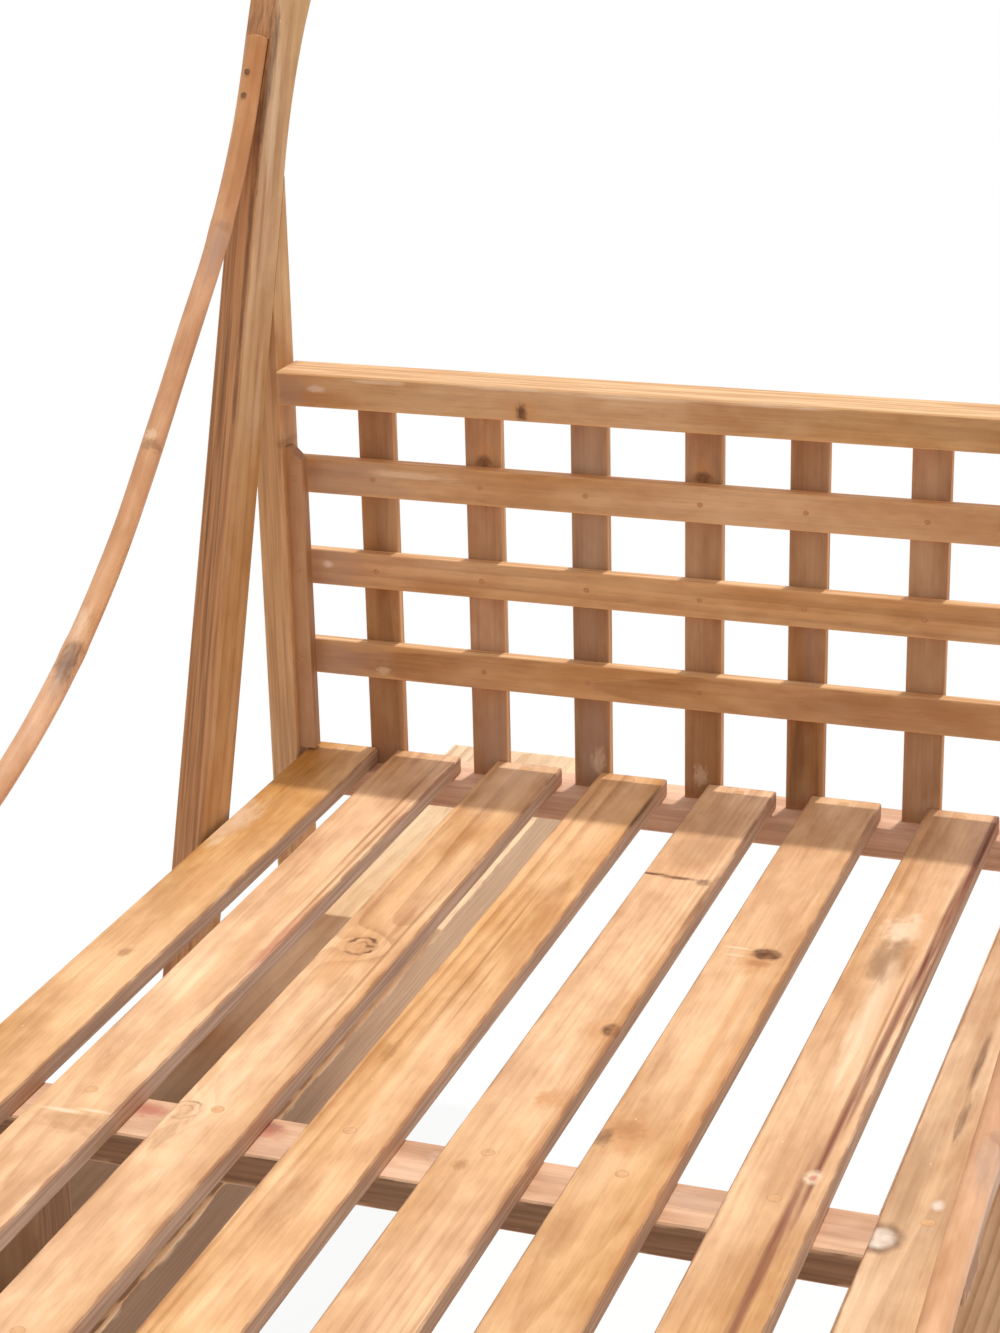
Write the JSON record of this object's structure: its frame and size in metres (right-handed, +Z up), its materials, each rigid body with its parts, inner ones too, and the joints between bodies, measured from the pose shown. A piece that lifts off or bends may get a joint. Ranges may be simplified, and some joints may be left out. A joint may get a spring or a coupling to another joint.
{
  "type": "porch swing",
  "caption": "Slatted wooden porch swing with a low lattice back, leaning side posts and bent rod arms, hung by chains from ceiling hooks.",
  "frame": {"origin": "middle of the horizontal axis that both ceiling hooks carry the swing on", "axes": "+Z up, +Y towards the back rest, +X to the right of someone facing the seat, along the hanging axis"},
  "size_m": [0.726, 1.135, 1.456],
  "materials": {
    "seat_wood": "satin",
    "rail_wood": "matte",
    "lattice_wood": "satin",
    "post_wood": "satin",
    "plank_wood": "matte",
    "rod_wood": "satin",
    "fastener_steel": "satin",
    "chain_steel": "satin"
  },
  "bodies": {
    "ceiling_hooks": {"left_ceiling_hook": "chain_steel", "right_ceiling_hook": "chain_steel"},
    "swing": {"back_seat_rail": "rail_wood", "brace_screws": "fastener_steel", "cleat_nails": "fastener_steel", "eye_bolt_nuts": "chain_steel", "eye_bolt_washers": "chain_steel", "foot_screws": "fastener_steel", "frame_screws": "fastener_steel", "front_seat_rail": "rail_wood", "lattice_nails": "fastener_steel", "lattice_rail_1": "lattice_wood", "lattice_rail_2": "lattice_wood", "lattice_rail_3": "lattice_wood", "lattice_upright_1": "lattice_wood", "lattice_upright_2": "lattice_wood", "lattice_upright_3": "lattice_wood", "lattice_upright_4": "lattice_wood", "lattice_upright_5": "lattice_wood", "lattice_upright_6": "lattice_wood", "lattice_upright_7": "lattice_wood", "left_arm_rod": "rod_wood", "left_back_chain": "chain_steel", "left_back_eye_bolt": "chain_steel", "left_back_post": "post_wood", "left_front_chain": "chain_steel", "left_front_eye_bolt": "chain_steel", "left_front_post": "post_wood", "left_hanging_ring": "chain_steel", "left_lattice_cleat": "lattice_wood", "left_plank": "plank_wood", "left_seat_leg": "rail_wood", "left_side_post": "post_wood", "leg_screws": "fastener_steel", "middle_seat_rail": "rail_wood", "right_arm_rod": "rod_wood", "right_back_chain": "chain_steel", "right_back_eye_bolt": "chain_steel", "right_back_post": "post_wood", "right_front_chain": "chain_steel", "right_front_eye_bolt": "chain_steel", "right_front_post": "post_wood", "right_hanging_ring": "chain_steel", "right_lattice_cleat": "lattice_wood", "right_plank": "plank_wood", "right_seat_leg": "rail_wood", "right_side_post": "post_wood", "rod_nails": "fastener_steel", "seat_slat_1": "seat_wood", "seat_slat_2": "seat_wood", "seat_slat_3": "seat_wood", "seat_slat_4": "seat_wood", "seat_slat_5": "seat_wood", "seat_slat_6": "seat_wood", "seat_slat_7": "seat_wood", "seat_slat_8": "seat_wood", "slat_screws": "fastener_steel", "top_rail": "lattice_wood"}
  },
  "joints": [
    {"name": "swing", "type": "hinge", "parent": "ceiling_hooks", "child": "swing", "pos_m": [0, 0, 0], "axis": [1, 0, 0], "range_deg": [-25, 25]}
  ]
}
